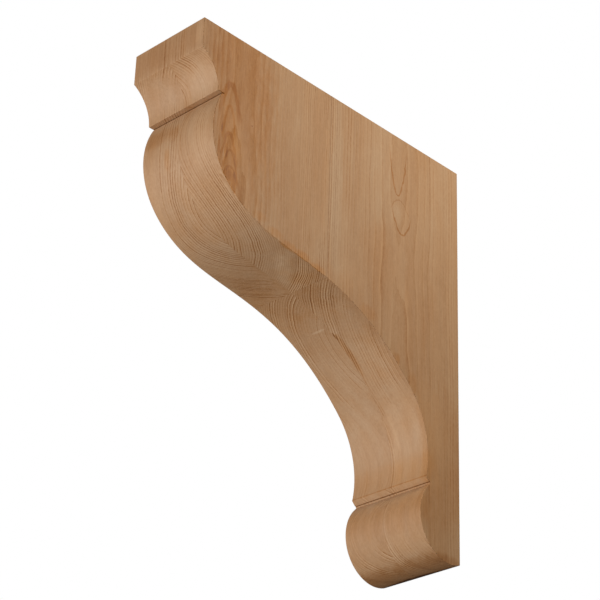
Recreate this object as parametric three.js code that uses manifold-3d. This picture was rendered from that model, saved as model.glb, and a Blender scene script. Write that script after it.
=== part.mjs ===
// A wooden corbel bracket that is fixed to a wall and carries a beam or a shelf on its flat top.
// Four planed softwood boards are glued into one blank, two side by side and two deep, and the
// blank is then sawn and sanded to a moulded outline: a fascia, a cove, a V groove, a long ogee,
// a V quirk and a roll at the foot.
//
// Units are millimetres. +Z is up, +X is to the right of someone who faces the bracket, and -Y is
// its front. The origin is the centre of the wall face, so the wall is the plane Y = 0.

import * as THREE from "three";
import { mergeVertices, toCreasedNormals } from "three/addons/utils/BufferGeometryUtils.js";
import Module from "manifold-3d";

// The whole bracket: the height of its wall face and the depth of its top.
const HEIGHT = 405.5;
const DEPTH = 339;

// The four boards. The left pair is a little thicker than the right pair, so the glue line down
// the middle of the front lies to the right of the centre.
const LEFT_THICKNESS = 45.5;
const RIGHT_THICKNESS = 43.5;
const BACK_BOARD_DEPTH = 177.5;
const GLUE_LINE = 0.3;

// The head: an upright fascia, and under it a cove that ends upright at the groove.
const FASCIA_HEIGHT = 30.5;
const COVE_HEIGHT = 35;
const COVE_INSET = 20.8;
const GROOVE_DEPTH = 5.9;

// The ogee: a round belly that swells out from the root of the groove, a long run that flattens
// and steepens again, and a hollow sweep that flares out a little where it meets the quirk.
// Slopes are degrees below level.
const BELLY_RADIUS = 71;
const BELLY_SWELL = 9.2;
const RUN_START_SLOPE = 46;
const RUN_END_SLOPE = 46;
const RUN_START_PULL = 0.31;
const RUN_END_PULL = 0.54;
const SWEEP_RADIUS = 85.5;
const SWEEP_FLARE = 2.4;

// The foot: a quirk cut in at 45 degrees, and a roll that starts behind its own crown and runs on
// past its lowest point to the wall. The setback is how far its centre is from the wall.
const QUIRK_CUT = 5.6;
const ROLL_RADIUS = 38.6;
const ROLL_START = 41;
const ROLL_SETBACK = 14.4;

// Facets on each round stretch of the outline.
const ARC_STEPS = 24;
const CREASE_ANGLE = THREE.MathUtils.degToRad(20);

const wasm = await Module();
wasm.setup();

// A point on a circle, at an angle in radians from the +Y direction towards +Z.
function onCircle(centre, radius, angle) {
  return new THREE.Vector2(Math.cos(angle), Math.sin(angle)).multiplyScalar(radius).add(centre);
}

// The direction of travel at a slope in radians below level, towards the wall.
function downhill(slope) {
  return new THREE.Vector2(Math.cos(slope), -Math.sin(slope));
}

// Draws an arc about a centre, from the angle where it starts to the angle where it ends.
function drawArc(shape, centre, radius, from, to) {
  shape.absarc(centre.x, centre.y, radius, from, to, to < from);
}

// The side outline of the bracket, with the shape's x along Y and its y along Z.
function sideOutline() {
  const top = HEIGHT / 2;
  const shape = new THREE.Shape();
  shape.moveTo(0, top);
  shape.lineTo(-DEPTH, top);

  // Fascia and cove. The cove's radius follows from its two sizes, because it ends upright.
  const coveTop = new THREE.Vector2(-DEPTH, top - FASCIA_HEIGHT);
  const coveRadius = (COVE_INSET ** 2 + COVE_HEIGHT ** 2) / (2 * COVE_INSET);
  const coveLip = coveTop.clone().add(new THREE.Vector2(COVE_INSET, -COVE_HEIGHT));
  const coveCentre = coveLip.clone().sub(new THREE.Vector2(coveRadius, 0));
  drawArc(shape, coveCentre, coveRadius, coveTop.clone().sub(coveCentre).angle(), 0);

  // Belly, from the root of the V groove to the slope where the run starts.
  const grooveRoot = coveLip.clone().add(new THREE.Vector2(GROOVE_DEPTH, 0));
  const bellyRise = Math.sqrt(2 * BELLY_RADIUS * BELLY_SWELL - BELLY_SWELL ** 2);
  const bellyCentre = grooveRoot.clone().add(new THREE.Vector2(BELLY_RADIUS - BELLY_SWELL, -bellyRise));
  const bellyStart = grooveRoot.clone().sub(bellyCentre).angle();
  const startSlope = THREE.MathUtils.degToRad(RUN_START_SLOPE);
  const bellyEnd = 1.5 * Math.PI - startSlope;
  drawArc(shape, bellyCentre, BELLY_RADIUS, bellyStart, bellyEnd);

  // Foot: the roll ends at the bottom of the wall face, and the quirk is cut in at its start.
  const rollRise = Math.sqrt(ROLL_RADIUS ** 2 - ROLL_SETBACK ** 2);
  const rollCentre = new THREE.Vector2(-ROLL_SETBACK, -top + rollRise);
  const rollStart = Math.PI / 2 + THREE.MathUtils.degToRad(ROLL_START);
  const rollEnd = 1.5 * Math.PI + Math.asin(ROLL_SETBACK / ROLL_RADIUS);
  const quirkRoot = onCircle(rollCentre, ROLL_RADIUS, rollStart);
  const quirkLip = quirkRoot.clone().add(new THREE.Vector2(-QUIRK_CUT, QUIRK_CUT));

  // Sweep, placed so that it ends at the quirk's lip after flaring out past its own waist.
  const sweepRise = Math.sqrt(2 * SWEEP_RADIUS * SWEEP_FLARE - SWEEP_FLARE ** 2);
  const sweepCentre = quirkLip.clone().add(new THREE.Vector2(SWEEP_FLARE - SWEEP_RADIUS, sweepRise));
  const endSlope = THREE.MathUtils.degToRad(RUN_END_SLOPE);
  const sweepStart = Math.PI / 2 - endSlope;
  const sweepEnd = Math.asin(-sweepRise / SWEEP_RADIUS);

  // Run, a curve that leaves the belly and meets the sweep in their own directions.
  const runStart = onCircle(bellyCentre, BELLY_RADIUS, bellyEnd);
  const runEnd = onCircle(sweepCentre, SWEEP_RADIUS, sweepStart);
  const runLength = runStart.distanceTo(runEnd);
  const startHandle = downhill(startSlope).multiplyScalar(RUN_START_PULL * runLength).add(runStart);
  const endHandle = downhill(endSlope).multiplyScalar(-RUN_END_PULL * runLength).add(runEnd);
  shape.bezierCurveTo(startHandle.x, startHandle.y, endHandle.x, endHandle.y, runEnd.x, runEnd.y);

  drawArc(shape, sweepCentre, SWEEP_RADIUS, sweepStart, sweepEnd);
  drawArc(shape, rollCentre, ROLL_RADIUS, rollStart, rollEnd);
  shape.closePath();
  return shape;
}

// A closed geometry as a solid that can be cut.
function solidOf(geometry) {
  geometry.deleteAttribute("normal");
  geometry.deleteAttribute("uv");
  const merged = mergeVertices(geometry);
  return new wasm.Manifold(
    new wasm.Mesh({
      numProp: 3,
      vertProperties: merged.attributes.position.array,
      triVerts: new Uint32Array(merged.index.array),
    }),
  );
}

// A solid as a geometry, smooth along the mouldings and sharp at their edges.
function geometryOf(solid) {
  const { vertProperties, triVerts } = solid.getMesh();
  const geometry = new THREE.BufferGeometry();
  geometry.setAttribute("position", new THREE.BufferAttribute(vertProperties, 3));
  geometry.setIndex(new THREE.BufferAttribute(triVerts, 1));
  return toCreasedNormals(geometry, CREASE_ANGLE);
}

// The outline carried across the width between two X positions.
function mouldedSlab(outline, leftX, rightX) {
  const slab = new THREE.ExtrudeGeometry(outline, {
    depth: rightX - leftX,
    bevelEnabled: false,
    curveSegments: ARC_STEPS,
  });
  const alongY = new THREE.Vector3(0, 1, 0);
  const alongZ = new THREE.Vector3(0, 0, 1);
  const alongX = new THREE.Vector3(1, 0, 0);
  slab.applyMatrix4(new THREE.Matrix4().makeBasis(alongY, alongZ, alongX));
  return slab.translate(leftX, 0, 0);
}

// The space between two Y positions, larger than the bracket in the other two directions.
function depthRange(frontY, backY) {
  const acrossAll = 2 * (LEFT_THICKNESS + RIGHT_THICKNESS);
  const space = new THREE.BoxGeometry(acrossAll, backY - frontY, 2 * HEIGHT);
  return space.translate(0, (frontY + backY) / 2, 0);
}

function board(name, colour, slab, range) {
  const material = new THREE.MeshStandardMaterial({ color: colour, roughness: 0.72, metalness: 0 });
  const mesh = new THREE.Mesh(geometryOf(solidOf(slab).intersect(solidOf(range))), material);
  mesh.name = name;
  return mesh;
}

const leftSide = -(LEFT_THICKNESS + RIGHT_THICKNESS) / 2;
const rightSide = leftSide + LEFT_THICKNESS + RIGHT_THICKNESS;
const middleJoint = leftSide + LEFT_THICKNESS;
const depthJoint = -BACK_BOARD_DEPTH;

const outline = sideOutline();
const leftSlab = () => mouldedSlab(outline, leftSide, middleJoint - GLUE_LINE / 2);
const rightSlab = () => mouldedSlab(outline, middleJoint + GLUE_LINE / 2, rightSide);
const frontRange = () => depthRange(-2 * DEPTH, depthJoint - GLUE_LINE / 2);
const backRange = () => depthRange(depthJoint + GLUE_LINE / 2, DEPTH);

const corbel = new THREE.Group();
corbel.add(board("front_left_board", "#bd9068", leftSlab(), frontRange()));
corbel.add(board("front_right_board", "#b89272", rightSlab(), frontRange()));
corbel.add(board("back_left_board", "#ba8f6d", leftSlab(), backRange()));
corbel.add(board("back_right_board", "#b98d66", rightSlab(), backRange()));

export default corbel;
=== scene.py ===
from collections import namedtuple
from math import asin, atan2, cos, hypot, pi, radians, sin, sqrt

import bmesh
import bpy
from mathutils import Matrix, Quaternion, Vector


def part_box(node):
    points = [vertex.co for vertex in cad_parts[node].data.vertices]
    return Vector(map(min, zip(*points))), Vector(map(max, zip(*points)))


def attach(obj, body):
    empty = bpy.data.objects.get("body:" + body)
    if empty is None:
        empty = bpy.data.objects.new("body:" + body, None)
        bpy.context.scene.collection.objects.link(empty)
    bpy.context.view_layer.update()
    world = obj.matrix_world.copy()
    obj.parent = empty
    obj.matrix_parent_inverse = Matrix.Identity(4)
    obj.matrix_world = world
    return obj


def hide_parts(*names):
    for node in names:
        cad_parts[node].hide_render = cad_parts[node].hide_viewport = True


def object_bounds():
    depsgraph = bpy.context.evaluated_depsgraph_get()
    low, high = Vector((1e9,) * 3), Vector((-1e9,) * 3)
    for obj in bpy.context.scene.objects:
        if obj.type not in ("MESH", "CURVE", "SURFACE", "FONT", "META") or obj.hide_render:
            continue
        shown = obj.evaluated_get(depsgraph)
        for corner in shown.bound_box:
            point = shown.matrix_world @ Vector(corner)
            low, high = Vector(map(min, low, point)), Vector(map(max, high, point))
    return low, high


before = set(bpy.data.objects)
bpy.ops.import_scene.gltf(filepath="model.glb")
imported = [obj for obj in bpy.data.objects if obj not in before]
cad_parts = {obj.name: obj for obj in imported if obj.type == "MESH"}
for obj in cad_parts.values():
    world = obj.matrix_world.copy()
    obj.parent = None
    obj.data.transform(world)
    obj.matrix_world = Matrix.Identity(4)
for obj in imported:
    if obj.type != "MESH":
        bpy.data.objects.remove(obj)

cad_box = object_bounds()
scene = bpy.context.scene

# FRONT LEFT BOARD
# The outer board of the left half: planed softwood with upright grain. It carries the fascia, the
# cove, the V groove, the belly and the start of the run, all sawn and sanded after the glue-up.

MM = 0.001
BACK_BOARD_DEPTH = 177.5 * MM
FASCIA_HEIGHT = 30.5 * MM
COVE_HEIGHT = 35 * MM
COVE_INSET = 20.8 * MM
GROOVE_DEPTH = 5.9 * MM
BELLY_RADIUS = 71 * MM
BELLY_SWELL = 9.2 * MM
RUN_START_SLOPE = radians(46)
RUN_END_SLOPE = radians(46)
RUN_START_PULL = 0.31
RUN_END_PULL = 0.54
SWEEP_RADIUS = 85.5 * MM
SWEEP_FLARE = 2.4 * MM
QUIRK_CUT = 5.6 * MM
ROLL_RADIUS = 38.6 * MM
ROLL_START = radians(41)
ROLL_SETBACK = 14.4 * MM
SAW_KERF = 0.8 * MM
SAW_OVERRUN = 1.6 * MM
FACET = 1.6 * MM


class Pencil:
    """Draws an outline in the plane x = 0 by extruding its last vertex, stretch by stretch."""

    def __init__(self, bm, y, z):
        self.bm = bm
        self.start = bmesh.ops.create_vert(bm, co=(0, y, z))["vert"][0]
        self.tip = self.start

    def line(self, y, z):
        out = bmesh.ops.extrude_vert_indiv(self.bm, verts=[self.tip])
        self.tip = out["verts"][0]
        self.tip.co = (0, y, z)

    def arc(self, centre_y, centre_z, turn):
        """Turns about a centre, anticlockwise where positive, seen with the wall at the right."""
        radius = hypot(self.tip.co.y - centre_y, self.tip.co.z - centre_z)
        steps = max(2, round(abs(turn) * radius / FACET))
        centre = (0, centre_y, centre_z)
        out = bmesh.ops.spin(
            self.bm, geom=[self.tip], cent=centre, axis=(1, 0, 0), angle=turn, steps=steps
        )
        self.tip = out["geom_last"][0]

    def curve(self, start_slope, start_pull, end_slope, end_pull, y, z):
        """Leaves and arrives at slopes below level. The two pulls are shares of its length."""
        start = self.tip.co.copy()
        end = Vector((0, y, z))
        length = (end - start).length
        leave = start + Vector((0, cos(start_slope), -sin(start_slope))) * start_pull * length
        arrive = end - Vector((0, cos(end_slope), -sin(end_slope))) * end_pull * length
        steps = round(length / FACET)
        for step in range(1, steps + 1):
            t = step / steps
            point = start * (1 - t) ** 3 + leave * 3 * t * (1 - t) ** 2
            point += arrive * 3 * t * t * (1 - t) + end * t**3
            self.line(point.y, point.z)

    def close(self):
        self.bm.edges.new((self.tip, self.start))


low, high = cad_box
left, right = low[0], high[0]
front, wall = low[1], high[1]
bottom, top = low[2], high[2]
cove_radius = (COVE_INSET**2 + COVE_HEIGHT**2) / (2 * COVE_INSET)
lip_y = front + COVE_INSET
lip_z = top - FASCIA_HEIGHT - COVE_HEIGHT
root_y = lip_y + GROOVE_DEPTH
belly_y = root_y + BELLY_RADIUS - BELLY_SWELL
belly_z = lip_z - sqrt(2 * BELLY_RADIUS * BELLY_SWELL - BELLY_SWELL**2)
roll_y = wall - ROLL_SETBACK
roll_z = bottom + ROLL_RADIUS
quirk_y = roll_y - ROLL_RADIUS * sin(ROLL_START)
quirk_z = roll_z + ROLL_RADIUS * cos(ROLL_START)
quirk_lip_y = quirk_y - QUIRK_CUT
quirk_lip_z = quirk_z + QUIRK_CUT


def draw_outline(bm):
    """The whole side outline, from the top front corner down the mouldings and up the wall."""
    pencil = Pencil(bm, front, top)
    pencil.line(front, top - FASCIA_HEIGHT)
    pencil.arc(lip_y - cove_radius, lip_z, -asin(COVE_HEIGHT / cove_radius))

    # The flat saw cut above the belly ran a little past the root of the V groove.
    pencil.line(root_y + SAW_OVERRUN, lip_z)
    pencil.line(root_y + SAW_OVERRUN, lip_z - SAW_KERF)
    belly_top = lip_z - SAW_KERF
    belly_start = sqrt(BELLY_RADIUS**2 - (belly_top - belly_z) ** 2)
    pencil.line(belly_y - belly_start, belly_top)
    turn = 3 * pi / 2 - RUN_START_SLOPE - atan2(belly_top - belly_z, -belly_start)
    pencil.arc(belly_y, belly_z, turn)

    sweep_rise = sqrt(2 * SWEEP_RADIUS * SWEEP_FLARE - SWEEP_FLARE**2)
    sweep_y = quirk_lip_y + SWEEP_FLARE - SWEEP_RADIUS
    sweep_z = quirk_lip_z + sweep_rise
    run_end_y = sweep_y + SWEEP_RADIUS * sin(RUN_END_SLOPE)
    run_end_z = sweep_z + SWEEP_RADIUS * cos(RUN_END_SLOPE)
    pencil.curve(RUN_START_SLOPE, RUN_START_PULL, RUN_END_SLOPE, RUN_END_PULL, run_end_y, run_end_z)
    pencil.arc(sweep_y, sweep_z, -(pi / 2 - RUN_END_SLOPE + asin(sweep_rise / SWEEP_RADIUS)))

    # A fine scored line runs along the quirk just above its root.
    pencil.line(quirk_y - 2 * SAW_KERF, quirk_z + 2 * SAW_KERF)
    pencil.line(quirk_y - SAW_KERF / 2, quirk_z + 2 * SAW_KERF)
    pencil.line(quirk_y - SAW_KERF, quirk_z + SAW_KERF)
    pencil.line(quirk_y, quirk_z)
    pencil.arc(roll_y, roll_z, pi - ROLL_START + asin(ROLL_SETBACK / ROLL_RADIUS))
    pencil.line(wall, top)
    pencil.close()


# An edge that turns by more than SHARP is eased, and one that turns by more than CURVED is shaded
# as an edge. Two boards meet with a HAIRLINE on either side of their joint.
ARRIS = 0.6 * MM
ARRIS_STEPS = 3
SHARP = radians(24)
CURVED = radians(12)
HAIRLINE = 0.005 * MM
ON_LINE = 0.01 * MM


def shape_board(name, depth_joint, keep_front, outer, inner):
    """Saws one board to the outline between its outer side and the middle glue line, and eases
    every sharp arris that isn't along a glue line."""
    bm = bmesh.new()
    draw_outline(bm)
    bmesh.ops.contextual_create(bm, geom=bm.edges[:])
    cut = depth_joint - HAIRLINE if keep_front else depth_joint + HAIRLINE
    bmesh.ops.bisect_plane(
        bm,
        geom=bm.verts[:] + bm.edges[:] + bm.faces[:],
        plane_co=(0, cut, 0),
        plane_no=(0, 1, 0),
        clear_outer=keep_front,
        clear_inner=not keep_front,
    )
    bmesh.ops.translate(bm, verts=bm.verts[:], vec=(outer, 0, 0))
    out = bmesh.ops.extrude_face_region(bm, geom=bm.faces[:])
    far_side = [v for v in out["geom"] if isinstance(v, bmesh.types.BMVert)]
    bmesh.ops.translate(bm, verts=far_side, vec=(inner - outer, 0, 0))
    bmesh.ops.recalc_face_normals(bm, faces=bm.faces[:])

    def eased(edge):
        glued = all(abs(v.co.x - inner) < ON_LINE for v in edge.verts)
        glued = glued or all(abs(v.co.y - cut) < ON_LINE for v in edge.verts)
        return edge.is_convex and edge.calc_face_angle() > SHARP and not glued

    bmesh.ops.bevel(
        bm,
        geom=[e for e in bm.edges if eased(e)],
        offset=ARRIS,
        offset_type="OFFSET",
        affect="EDGES",
        segments=ARRIS_STEPS,
        profile=0.5,
        clamp_overlap=True,
        material=-1,
    )
    for face in bm.faces:
        face.smooth = True
    mesh = bpy.data.meshes.new(name)
    bm.to_mesh(mesh)
    bm.free()
    mesh.set_sharp_from_angle(angle=CURVED)
    end_grain = mesh.attributes.new("end_grain", "FLOAT", "FACE")
    for face in mesh.polygons:
        end_grain.data[face.index].value = abs(face.normal.z)
    board = bpy.data.objects.new(name, mesh)
    scene.collection.objects.link(board)
    return board


class Wire:
    """One output among a material's nodes, so that sums on it are written as plain expressions."""

    def __init__(self, tree, output):
        self.tree = tree
        self.output = output

    def node(self, kind, settings=None, sockets=None, output=0):
        """Adds a node of this kind, sets it up, fills or links its sockets and gives one output."""
        made = self.tree.nodes.new("ShaderNode" + kind)
        for key, value in (settings or {}).items():
            if key == "stops":
                stops = made.color_ramp.elements
                for index, (place, colour) in enumerate(value):
                    stop = stops[index] if index < 2 else stops.new(place)
                    stop.position = place
                    stop.color = (*colour, 1)
            else:
                setattr(made, key, value)
        for key, value in (sockets or {}).items():
            if isinstance(value, Wire):
                self.tree.links.new(value.output, made.inputs[key])
            else:
                made.inputs[key].default_value = value
        return Wire(self.tree, made.outputs[output])

    def math(self, operation, *others):
        """A Math node whose first operand is this value."""
        return self.node("Math", {"operation": operation}, dict(enumerate((self, *others))))

    def __add__(self, other):
        return self.math("ADD", other)

    def __sub__(self, other):
        return self.math("SUBTRACT", other)

    def __rsub__(self, other):
        return self.node("Math", {"operation": "SUBTRACT"}, {0: other, 1: self})

    def __mul__(self, other):
        return self.math("MULTIPLY", other)

    def __truediv__(self, other):
        return self.math("DIVIDE", other)

    def __pow__(self, other):
        return self.math("POWER", other)

    __radd__ = __add__
    __rmul__ = __mul__

    def between(self, low, high):
        """Rises smoothly from 0 where the value is low to 1 where it is high."""
        sockets = {"Value": self, "From Min": low, "From Max": high}
        return self.node("MapRange", {"interpolation_type": "SMOOTHSTEP"}, sockets)

    def cloud(self, y, z, detail=2.0, roughness=0.5):
        """Soft noise of this value and two more, from about -0.5 to 0.5 around 0."""
        place = self.node("CombineXYZ", {}, {0: self, 1: y, 2: z})
        sockets = {"Vector": place, "Scale": 1.0, "Detail": detail, "Roughness": roughness}
        return self.node("TexNoise", {}, sockets) - 0.5


PALE_WOOD = (0.61, 0.41, 0.255)
TAN_WOOD = (0.448, 0.267, 0.145)
BROWN_WOOD = (0.292, 0.149, 0.066)
DARK_WOOD = (0.115, 0.053, 0.021)
ORANGE_TINT = (1.03, 0.86, 0.62)
GREY_TINT = (0.97, 1.01, 1.08)
MOST_GOLD = 2.3

# How dark and how warm plain wood is, and how bold a line can be at least and dark at most.
PLAIN_DEPTH = 0.41
PLAIN_WARMTH = 0.18
FAINTEST = 0.05
DARKEST_LINE = 0.95
GLUE_TONE = 0.04

# The widths of the dark end of a ring and of the pale edge after it, in millimetres.
LATE_WOOD = 1.3
PALE_EDGE = 1.0

SANDED_ROUGHNESS = 0.56
SANDED_SHEEN = 0.3
GRAIN_BUMP = 0.15
GRAIN_HEIGHT = 0.4 * MM

# The colour sockets of a Mix node, which share their names with its number sockets.
FACTOR, FIRST, SECOND, RESULT = 0, 6, 7, 2

# Where a mark lies on the right side face, in millimetres, and the reach in X of one that only
# colours that face. ALL_ACROSS is the reach of one that runs the bracket's whole width.
SIDE = right / MM
SKIN = 0.6
ALL_ACROSS = 1000.0

# A soft spot in the wood, or a painted shade or highlight laid on it, in millimetres: how much
# darker or paler, more orange or greyer, and bolder or fainter in its lines it is, and how far it
# lifts the rings from the heart.
Mark = namedtuple("Mark", "place reach darker warmer bolder lift", defaults=(0.0, 0.0, 0.0, 0.0))

# A ring that the side face only just meets, which shows as an arch: its tip, its half width where
# it has fallen by its drop, and the width of its line. A negative drop makes it open upwards.
Arch = namedtuple("Arch", "y z half_width drop width darker warmer")
ARCH_DEPTH = 1.5


def along(y, z, reach, darker, warmer=0.0):
    """A thin line across the whole front, at a place on the outline given in metres."""
    return Mark((0, y / MM, z / MM), (ALL_ACROSS, reach, reach), darker, warmer)


def bare_softwood(board, heart, growth, seed, boldness, years, marks, arches=()):
    """Bare sanded softwood, worked out in millimetres as rings about the heart of the tree.

    heart is where the tree's heart line passes, growth the law of how the rings crowd outwards,
    and years the bold years, each as a distance from the heart, a reach and how bold it is.
    """
    material = bpy.data.materials.new(board.name + "_wood")
    material.use_nodes = True
    tree = material.node_tree
    shader = tree.nodes["Principled BSDF"]
    start = Wire(tree, None)
    place = start.node("TexCoord", output="Object")
    axes = start.node("VectorMath", {"operation": "SCALE"}, {"Vector": place, "Scale": 1 / MM})
    x, y, z = (start.node("SeparateXYZ", {}, {"Vector": axes}, axis) for axis in "XYZ")
    end_grain = start.node("Attribute", {"attribute_name": "end_grain"}, output="Fac")

    def nearness(mark):
        """The squared distance from a mark's middle, where its edge is at 1."""
        total = 0.0
        for axis, middle, reach in zip((x, y, z), mark.place, mark.reach):
            share = (axis - middle) / reach
            total = share * share + total
        return total

    # The distance from the heart, which wanders slowly along the trunk and finely from fibre to
    # fibre, and the rings that it falls in.
    across = x - heart[0] + (z / 130 + seed).cloud(seed, 0.0, detail=1.0) * 6
    deep = y - heart[1] + (z / 150 + seed).cloud(seed + 9.0, 3.0, detail=1.0) * 6
    radius = (across * across + deep * deep) ** 0.5
    radius = radius + (x / 55 + seed).cloud(y / 55, z / 240) * 5
    radius = radius + (x / 12 + seed).cloud(y / 12, z / 60) * 1.4
    radius = radius + (x / 2.5 + seed).cloud(y / 2.5, z / 22) * 0.35
    ragged = (x / 5 + seed).cloud(y / 5, z / 16, detail=3.0) * 0.9
    for mark in marks:
        if mark.lift:
            lifted = 1 - (nearness(mark) + ragged * 0.4).between(0.0, 1.0)
            radius = radius + lifted * mark.lift
    first, power = growth
    pace = (radius / 11 + seed).cloud(seed, 0.0, detail=1.0) * 1.1
    rings = (radius.math("MAXIMUM", 1.0) ** power) * first + pace
    crowding = (radius ** (power - 1)) * (first * power)
    season = rings.math("FRACT")
    late = 1 - ((1 - season) / crowding).between(0.1, LATE_WOOD)
    early = 1 - (season / crowding).between(0.1, PALE_EDGE)

    def drawn(lot):
        """A number from 0 to 1 for each year, which the lot decides."""
        return start.node("TexWhiteNoise", {"noise_dimensions": "1D"}, {"W": lot})

    year = rings.math("FLOOR")
    strong = drawn(year + seed)
    pale = drawn(year + seed + 31.7)

    # How dark the wood is, how warm, and how bold its lines are.
    fibre = (x / 1.2).cloud(y / 1.2, z / 16, detail=3.0, roughness=0.65)
    streak = (x / 2.2 + seed).cloud(y / 2.2, z / 110)
    patch = (x / 34 + seed).cloud(y / 34, z / 130)
    bloom = (x / 11 + seed).cloud(y / 11, z / 45, detail=3.0)
    fading = (x / 20 + seed).cloud(y / 20, z / 50) * 1.6
    mottle = (x / 1.8 + seed).cloud(y / 1.8, z / 3.5, detail=3.0, roughness=0.6)
    depth = PLAIN_DEPTH + fibre * 0.20 + streak * 0.10 + patch * 0.18 + bloom * 0.09
    depth = depth + mottle * 0.17 + (pale - 0.5) * 0.05
    warm = PLAIN_WARMTH + patch * 0.8 + bloom * 0.7
    bold = fading + boldness
    for distance, reach, bolder in years:
        offset = (radius - distance) / reach
        bold = bold + (1 - (offset * offset).between(0.0, 1.0)) * bolder
    # Some marks are painted light and shade: dark lines in the roots of the groove and the quirk,
    # the dark underside and bottom edge of the roll, and pale lines on arrises.
    for mark in marks:
        spot = 1 - (nearness(mark) + ragged).between(0.0, 1.0)
        if mark.darker:
            depth = depth + spot * mark.darker
        if mark.warmer:
            warm = warm + spot * mark.warmer
        if mark.bolder:
            bold = bold + spot * mark.bolder
    bold = bold.math("MAXIMUM", FAINTEST)
    line = late * (strong * strong * 0.8 + 0.15) * bold * (mottle * 2.4 + 1.0)
    line = line.math("MINIMUM", DARKEST_LINE)
    depth = depth + line * (end_grain * 0.08 + 0.24) - early * bold * (end_grain * 0.08 + 0.07)

    # The arches on the side face, and the glue lines.
    wavy = y + (x / 4).cloud(y / 3, z / 9) * 4
    inwards = (SIDE - x) / ARCH_DEPTH
    for arch in arches:
        aside = (wavy - arch.y) / arch.half_width
        fall = (arch.z - z) / arch.drop
        gap = aside * aside - fall
        steepness = (aside * aside * (4 / arch.half_width**2) + 1 / arch.drop**2) ** 0.5
        away = gap.math("ABSOLUTE") / steepness / arch.width + ragged
        stroke = (1 - away.between(0.4, 1.0)) * (1 - fall.between(0.6, 1.1))
        stroke = stroke * (1 - inwards.between(0.2, 1.0))
        depth = depth + stroke * arch.darker
        warm = warm + stroke * arch.warmer
    from_middle = (x - middle_joint / MM).math("ABSOLUTE")
    from_depth = (y - depth_joint / MM).math("ABSOLUTE")
    depth = depth + (1 - from_middle.between(0.1, 0.8)) * GLUE_TONE
    depth = depth + (1 - from_depth.between(0.2, 1.0)) * GLUE_TONE

    def tinted(colour, tint, amount, most):
        """The colour times a tint, as often as the amount says, from 0 to the most."""
        share = start.node("Clamp", {}, {"Value": amount, "Min": 0.0, "Max": most})
        settings = {"data_type": "RGBA", "blend_type": "MULTIPLY", "clamp_factor": False}
        sockets = {FACTOR: share, FIRST: colour, SECOND: (*tint, 1)}
        return start.node("Mix", settings, sockets, RESULT)

    stops = ((0.0, PALE_WOOD), (0.4, TAN_WOOD), (0.7, BROWN_WOOD), (1.0, DARK_WOOD))
    plain = start.node("ValToRGB", {"stops": stops}, {"Fac": depth})
    golden = tinted(plain, ORANGE_TINT, warm + line * 0.7, MOST_GOLD)
    colour = tinted(golden, GREY_TINT, warm * -1.0, 1.0)
    tree.links.new(colour.output, shader.inputs["Base Color"])
    rough = SANDED_ROUGHNESS + late * 0.08 + fibre * 0.2
    tree.links.new(rough.output, shader.inputs["Roughness"])
    shader.inputs["Specular IOR Level"].default_value = SANDED_SHEEN
    relief = fibre * 0.5 - line * 0.3
    sockets = {"Strength": GRAIN_BUMP, "Distance": GRAIN_HEIGHT, "Height": relief}
    bump = start.node("Bump", {}, sockets)
    tree.links.new(bump.output, shader.inputs["Normal"])
    board.data.materials.append(material)


depth_joint = wall - BACK_BOARD_DEPTH
middle_joint = (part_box("front_left_board")[1].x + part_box("front_right_board")[0].x) / 2
# Painted shade: a dark, warmer line along the root of the V groove, where little light reaches.
groove_root_shade = along(root_y, lip_z - SAW_KERF / 2, 1.0, darker=0.34, warmer=0.3)
# Painted highlight: a pale line on the belly's top arris, just below the groove.
groove_lip_highlight = along(root_y - 1.2 * MM, lip_z - 2.2 * MM, 1.2, darker=-0.14)

front_left = shape_board(
    "dressed_front_left_board", depth_joint, True, left, middle_joint - HAIRLINE
)
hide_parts("front_left_board")
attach(front_left, "root")
run_tone = Mark((0, -175, 8), (ALL_ACROSS, 50, 22), warmer=0.25)
front_left_marks = (
    groove_root_shade,
    groove_lip_highlight,
    Mark((-20, -337, 190), (60, 10, 24), darker=0.15, warmer=0.4, bolder=-0.8),
    Mark((-20, -326, 154), (34, 18, 26), darker=0.03, bolder=-1.5),
    run_tone,
    Mark((-22, -298, 58), (26, 40, 40), darker=0.04, bolder=-0.2),
    Mark((-30, -321, 118), (30, 12, 14), darker=0.10, warmer=0.45, bolder=-0.4),
    Mark((-6, -321, 114), (9, 8, 12), darker=0.08, warmer=0.4),
    Mark((-14, -320, 88), (5, 8, 16), darker=0.07, warmer=0.6),
    Mark((-36, -300, 62), (15, 40, 70), darker=-0.02, bolder=-0.7),
    Mark((-18, -320, 98), (26, 16, 36), bolder=-0.5),
    Mark((-24, -200, 16), (24, 24, 30), darker=0.06, warmer=0.1, bolder=0.8),
    Mark((-24, -238, 22), (28, 26, 24), bolder=0.7),
)
front_left_years = ((42, 9, 0.8), (60, 12, 0.6), (69, 2.5, 0.5), (112.5, 1.5, 1.8))
bare_softwood(
    front_left,
    heart=(34, -283),
    growth=(0.021, 1.6),
    seed=3.1,
    boldness=0.7,
    years=front_left_years,
    marks=front_left_marks,
)

# FRONT RIGHT BOARD
# The outer board of the right half. Its side shows a flame of flat grain below the groove, with a
# pitch streak and a pin knot, and its run has a pale patch before the glue line.

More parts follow.
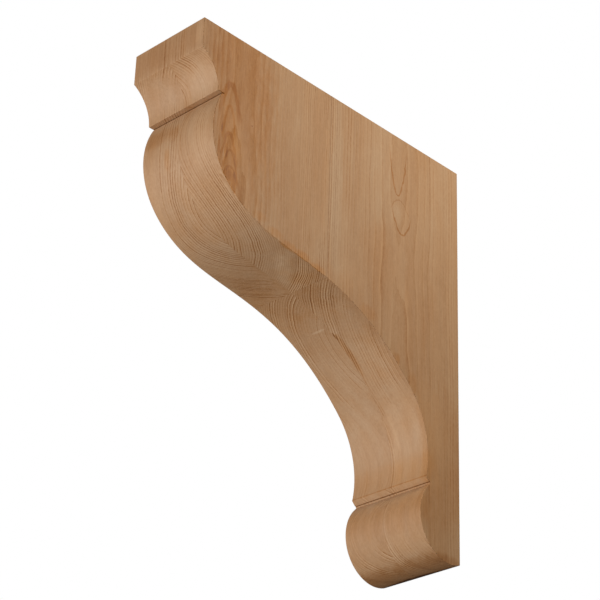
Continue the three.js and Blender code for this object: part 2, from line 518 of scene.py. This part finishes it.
front_right = shape_board(
    "dressed_front_right_board", depth_joint, True, right, middle_joint + HAIRLINE
)
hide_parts("front_right_board")
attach(front_right, "root")
side_glue = Mark((SIDE, -177.5, 100), (2, 1.1, 400), darker=0.10)
front_right_marks = (
    groove_root_shade,
    groove_lip_highlight,
    run_tone,
    Mark((20, -337, 190), (50, 10, 24), darker=0.11, warmer=0.3, bolder=-0.8),
    # Paler wood near the fascia's right arris, with a painted highlight where that arris meets the
    # cove.
    Mark((40, -338, 190), (8, 8, 17), darker=-0.14),
    Mark((26, -323, 152), (26, 16, 26), darker=-0.11, warmer=-0.2, bolder=-1.0),
    Mark((26, -318, 98), (18, 14, 42), darker=-0.09),
    Mark((26, -285, 40), (26, 28, 26), darker=0.03, bolder=1.2),
    Mark((14, -320, 98), (30, 16, 36), bolder=-0.4),
    Mark((34, -312, 84), (14, 20, 30), bolder=-0.4),
    Mark((36, -221, 19), (11, 10, 20), darker=-0.10, warmer=-0.1, bolder=0.1),
    Mark((27, -216, 19), (10, 11, 20), darker=-0.15, warmer=-0.1, bolder=0.1),
    Mark((18, -206, 17), (10, 11, 20), darker=-0.15, warmer=-0.1, bolder=0.1),
    Mark((10, -195, 15), (9, 10, 20), darker=-0.10, warmer=-0.1),
    Mark((28, -188, 14), (22, 12, 30), darker=0.05, warmer=0.3, bolder=0.5),
    Mark((22, -248, 25), (30, 16, 20), bolder=0.5),
    Mark((SIDE, -290, 130), (SKIN, 50, 170), darker=0.09, warmer=1.15),
    Mark((SIDE, -302, 66), (SKIN, 17, 86), warmer=0.5),
    Mark((SIDE, -302, 66), (5, 17, 86), lift=-2.2),
    Mark((SIDE, -293, 74), (6, 9, 34), darker=-0.04, bolder=-0.5),
    Mark((SIDE, -205, 110), (6, 26, 150), bolder=-1.5),
    Mark((SIDE, -320, 185), (SKIN, 26, 50), darker=0.05, warmer=0.4),
    Mark((SIDE, -305, 82), (SKIN, 3, 10), darker=0.12, warmer=1.2),
    Mark((SIDE, -300, 60), (SKIN, 7, 7), darker=0.12, warmer=1.2),
    Mark((SIDE, -294, 50), (SKIN, 3, 26), darker=0.12, warmer=1.2),
    Mark((SIDE, -313, 82), (SKIN, 2, 12), darker=0.12, warmer=0.9),
    Mark((SIDE, -309, 132), (10, 4, 20), darker=-0.08),
    Mark((SIDE, -295, 92), (10, 5, 18), darker=-0.11),
    Mark((SIDE, -311, 102), (SKIN, 1.1, 6), darker=0.20, warmer=2.0),
    Mark((SIDE, -276, 120.6), (5, 1.1, 1.3), darker=0.3, warmer=0.5),
    Mark((SIDE, -276, 120.6), (8, 4, 12), lift=-1.0),
    Mark((SIDE, -225, 120), (4, 62, 150), darker=0.02, warmer=0.3, bolder=-0.62),
    Mark((SIDE, -183, 120), (3, 6, 90), darker=-0.03, warmer=0.15),
    side_glue,
    Mark((SIDE, -262, 36), (4, 12, 6), darker=0.01, warmer=0.6),
    Mark((SIDE, -244, 28), (4, 14, 6), darker=0.01, warmer=0.7),
    Mark((SIDE, -226, 22), (4, 14, 6), darker=0.02, warmer=0.8),
    Mark((SIDE, -208, 19), (1.5, 13, 7), darker=0.02, warmer=1.0),
    Mark((SIDE, -190, 15), (1.5, 13, 6), darker=0.02, warmer=0.9),
)
front_right_years = ((50, 10, 0.6), (77, 8, 0.5), (118, 7, 2.2))
front_right_arches = (
    Arch(-303, 150, 12, 36, 3.6, 0.14, 1.0),
    Arch(-303, 128, 8, 36, 1.8, 0.06, 0.6),
    Arch(-302, 100, 9, 30, 2.4, 0.14, 1.0),
    Arch(-300, 84, 9, 24, 1.8, 0.12, 1.0),
    Arch(-299, 68, 10, 18, 1.8, 0.12, 1.0),
)
bare_softwood(
    front_right,
    heart=(-42, -285),
    growth=(0.021, 1.6),
    seed=7.7,
    boldness=0.75,
    years=front_right_years,
    marks=front_right_marks,
    arches=front_right_arches,
)

# BACK LEFT BOARD
# The left board at the wall, as high as the bracket. It carries the rest of the run, the hollow
# sweep, the quirk and the roll, which runs on under the foot and rises a little to the wall.

back_left = shape_board(
    "dressed_back_left_board", depth_joint, False, left, middle_joint - HAIRLINE
)
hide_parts("back_left_board")
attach(back_left, "root")
# Painted shade: a dark, warmer line in the scored line along the quirk, where little light reaches.
quirk_root_shade = along(quirk_y - 1.0 * MM, quirk_z + 1.5 * MM, 0.9, darker=0.30, warmer=0.3)
quirk_edge = along(quirk_lip_y, quirk_lip_z + 0.6 * MM, 1.0, darker=0.14, warmer=0.6)
# Painted shade: the underside of the roll made darker and warmer, as it gets little light from
# below.
roll_underside_shade = Mark((0, -16, -206), (ALL_ACROSS, 32, 10), darker=0.20, warmer=0.5)
low_sweep = along(quirk_lip_y, quirk_lip_z + 12 * MM, 18, darker=0.02, warmer=0.35)
foot_z = roll_z - sqrt(ROLL_RADIUS**2 - ROLL_SETBACK**2)
# Painted shadow: a near-black, warmer band along the roll's bottom edge at the wall.
foot_edge_shadow = Mark((-4, 0, foot_z / MM), (46, 12, 6), darker=1.0, warmer=0.6)
back_left_marks = (
    quirk_root_shade,
    quirk_edge,
    low_sweep,
    Mark((-14, -168, 9), (26, 20, 24), darker=0.03, bolder=0.4),
    Mark((-10, -131, -4), (10, 1.4, 8), darker=-0.2, warmer=-0.3),
    Mark((-30, -106, -16), (26, 40, 50), darker=0.02),
    Mark((-22, -90, -32), (44, 40, 50), darker=-0.05, warmer=-0.15),
    Mark((-34, -76, -44), (16, 44, 60), bolder=-1.0),
    Mark((-8, -60, -62), (22, 32, 40), bolder=-0.6),
    run_tone,
    Mark((-24, -60, -58), (26, 26, 24), darker=-0.04, warmer=-0.2),
    Mark((-22, -48, -92), (40, 44, 70), darker=-0.03, bolder=-2.4),
    Mark((-24, -52, -172), (44, 24, 34), darker=0.05, warmer=0.1, bolder=-2.2),
    Mark((-24, -53, -162), (44, 20, 24), darker=0.02, warmer=0.4),
    roll_underside_shade,
    foot_edge_shadow,
)
back_left_years = ((94, 3, 2.0), (78, 4, 1.4))
bare_softwood(
    back_left,
    heart=(39, -105),
    growth=(0.0065, 1.8),
    seed=12.3,
    boldness=0.7,
    years=back_left_years,
    marks=back_left_marks,
)

# BACK RIGHT BOARD
# The right board at the wall, the same but for its grain: its side has few lines, which close to
# a tongue and a shield where the saw only just met a ring.

back_right = shape_board(
    "dressed_back_right_board", depth_joint, False, right, middle_joint + HAIRLINE
)
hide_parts("back_right_board")
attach(back_right, "root")
back_right_marks = (
    quirk_root_shade,
    quirk_edge,
    low_sweep,
    Mark((22, -162, 9), (28, 20, 24), darker=0.08, bolder=1.0),
    Mark((30, -92, -30), (18, 40, 50), warmer=0.2, bolder=0.8),
    Mark((2, -121, -9), (1.6, 6, 7), darker=0.34, warmer=0.5),
    Mark((4, -104, -21), (4, 27, 31), darker=0.14, warmer=0.6, bolder=0.9),
    Mark((9, -48, -104), (6, 20, 60), darker=-0.10, bolder=-0.3),
    run_tone,
    Mark((28, -48, -92), (40, 44, 70), darker=-0.12, bolder=-1.2),
    Mark((28, -50, -168), (44, 24, 34), bolder=-1.0),
    Mark((28, -53, -162), (44, 20, 24), warmer=0.35),
    Mark((SIDE, -90, 10), (12, 120, 130), darker=0.05, warmer=0.1, bolder=-0.5),
    Mark((SIDE, -110, 60), (12, 24, 50), darker=0.02, warmer=0.3),
    Mark((SIDE, -10, -40), (12, 60, 200), darker=0.03),
    Mark((SIDE, -109, 40), (SKIN, 13, 80), darker=0.02, warmer=0.1, bolder=1.0),
    Mark((SIDE, -70, 10), (SKIN, 8, 90), darker=0.03, warmer=0.2, bolder=1.1),
    Mark((SIDE, -124, -1), (SKIN, 14, 9), darker=0.03, warmer=0.5),
    Mark((SIDE, -86, -32), (SKIN, 6, 8), darker=0.06, warmer=0.7),
    Mark((SIDE, -64, -50), (SKIN, 9, 16), darker=0.05, warmer=0.5),
    Mark((SIDE, -150, 26), (SKIN, 22, 20), darker=-0.06),
    Mark((18, -90, -32), (26, 40, 50), darker=-0.04),
    Mark((SIDE, -168, 110), (10, 9, 120), darker=-0.06, warmer=-0.4),
    Mark((SIDE, -86, 117), (8, 10, 14), darker=-0.07, warmer=-0.2),
    Mark((SIDE, -30, -110), (10, 50, 90), darker=0.08, warmer=0.45),
    Mark((20, -44, -190), (40, 16, 14), darker=-0.05),
    side_glue,
    roll_underside_shade,
    foot_edge_shadow,
)
back_right_years = ((116, 4, 2.0), (129, 3, 1.2), (70, 4, 0.5), (77, 2, 0.9))
back_right_arches = (
    Arch(-86, 138, 12.5, -52, 1.1, 0.16, 0.9),
    Arch(-80, 98, 13, -22, 1.3, 0.17, 0.9),
    Arch(-83, 134, 13, 14, 0.8, 0.12, 0.4),
)
bare_softwood(
    back_right,
    heart=(112, -82),
    growth=(0.005, 1.8),
    seed=17.9,
    boldness=0.7,
    years=back_right_years,
    marks=back_right_marks,
    arches=back_right_arches,
)

# CAMERA
# It looks up at the bracket from its right front, far enough away for a long lens.

AZIMUTH = radians(45.02)
ELEVATION = radians(-28.63)
ROLL = radians(2.013)
DISTANCE = 1.8841
AIM = Vector((-0.0606, -0.1048, 0.05695))
LENS_MM = 120.4
SENSOR_MM = 36

towards_camera = Vector(
    (sin(AZIMUTH) * cos(ELEVATION), -cos(AZIMUTH) * cos(ELEVATION), sin(ELEVATION))
)
camera = bpy.data.objects.new("camera", bpy.data.cameras.new("camera"))
camera.data.lens = LENS_MM
camera.data.sensor_width = SENSOR_MM
camera.rotation_mode = "QUATERNION"
camera.rotation_quaternion = towards_camera.to_track_quat("Z", "Y") @ Quaternion((0, 0, 1), ROLL)
camera.location = AIM + towards_camera * DISTANCE
scene.collection.objects.link(camera)
scene.camera = camera

# ROOM
# A pale floor well below the bracket, white air that gives little light of its own, and four
# large soft lamps, the two on the right a little warmer.

FLOOR_DROP = 1.15
FLOOR_SIZE = 10.0
FLOOR_PAINT = (0.75, 0.75, 0.74, 1)

floor_mesh = bmesh.new()
bmesh.ops.create_grid(floor_mesh, x_segments=1, y_segments=1, size=FLOOR_SIZE / 2)
bmesh.ops.translate(floor_mesh, verts=floor_mesh.verts[:], vec=(0, 0, bottom - FLOOR_DROP))
floor = bpy.data.objects.new("floor", bpy.data.meshes.new("floor"))
floor_mesh.to_mesh(floor.data)
floor_mesh.free()
scene.collection.objects.link(floor)
paint = bpy.data.materials.new("pale_floor")
paint.use_nodes = True
paint.node_tree.nodes["Principled BSDF"].inputs["Base Color"].default_value = FLOOR_PAINT
paint.node_tree.nodes["Principled BSDF"].inputs["Roughness"].default_value = 0.9
floor.data.materials.append(paint)

AIR_SEEN = 1.0
AIR_LIGHT = 0.05

air = bpy.data.worlds.new("air")
air.use_nodes = True
scene.world = air
glow = air.node_tree.nodes["Background"]
seen = Wire(air.node_tree, None).node("LightPath", output="Is Camera Ray")
strength = seen * (AIR_SEEN - AIR_LIGHT) + AIR_LIGHT
air.node_tree.links.new(strength.output, glow.inputs["Strength"])
glow.inputs["Color"].default_value = (1, 1, 1, 1)

LAMP_TARGET = Vector((0, -0.15, 0))
NEUTRAL = (1, 1, 1)
WARM = (1, 0.93, 0.79)
LAMPS = (
    ("front_left_lamp", (-0.9, -1.7, 0.1), 0.9, 14.3, NEUTRAL),
    ("front_low_lamp", (0.0, -1.6, -0.9), 0.9, 13.8, NEUTRAL),
    ("right_front_lamp", (1.2, -1.5, -0.1), 0.9, 3.4, WARM),
    ("right_back_lamp", (0.75, 0.12, 0.5), 0.5, 6.9, WARM),
)
for name, spot, size, power, tint in LAMPS:
    lamp = bpy.data.objects.new(name, bpy.data.lights.new(name, "AREA"))
    lamp.data.size = size
    lamp.data.energy = power
    lamp.data.color = tint
    lamp.location = spot
    lamp.rotation_mode = "QUATERNION"
    lamp.rotation_quaternion = (Vector(spot) - LAMP_TARGET).to_track_quat("Z", "Y")
    scene.collection.objects.link(lamp)
scene.view_settings.view_transform = "Standard"
